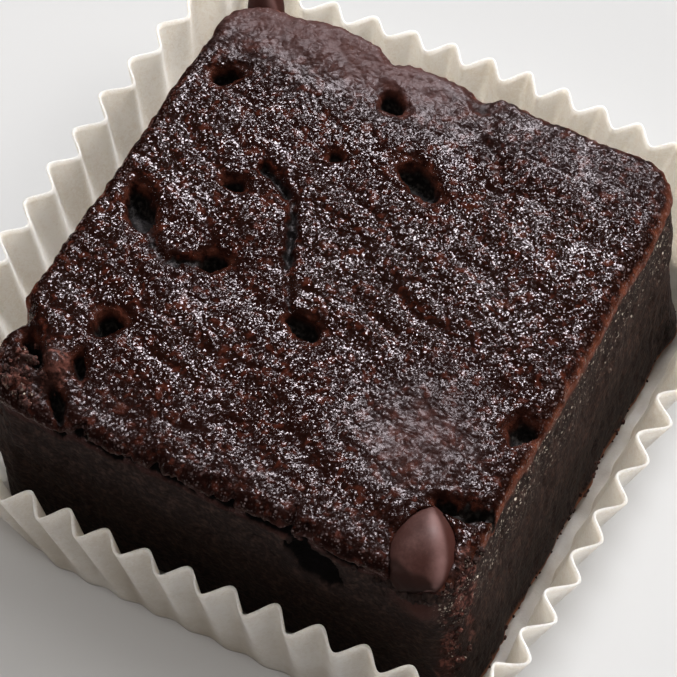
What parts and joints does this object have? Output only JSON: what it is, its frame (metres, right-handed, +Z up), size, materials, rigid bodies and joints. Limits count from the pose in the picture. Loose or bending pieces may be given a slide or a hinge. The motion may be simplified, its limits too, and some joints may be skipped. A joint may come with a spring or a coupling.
{
  "type": "chocolate cake square in a paper case",
  "caption": "Square-cut dark chocolate cake with a wrinkled, pitted crust and embedded chocolate chips, standing in a fluted paper baking case.",
  "frame": {"origin": "on the underside of the paper case, about the middle of its rim", "axes": "+Z up; the side of the cake that carries the front chip faces -Y, and the side that leans out at its foot faces +X"},
  "size_m": [0.081, 0.0817, 0.0292],
  "materials": {
    "cake_crumb": "moist dark crumb with a glistening crust",
    "chocolate_chip": "smooth and dull",
    "case_paper": "plain cream baking paper, matte"
  },
  "bodies": {
    "root": {"cake": "cake_crumb", "chip_front": "chocolate_chip", "chip_back": "chocolate_chip", "paper_case": "case_paper"}
  },
  "joints": []
}
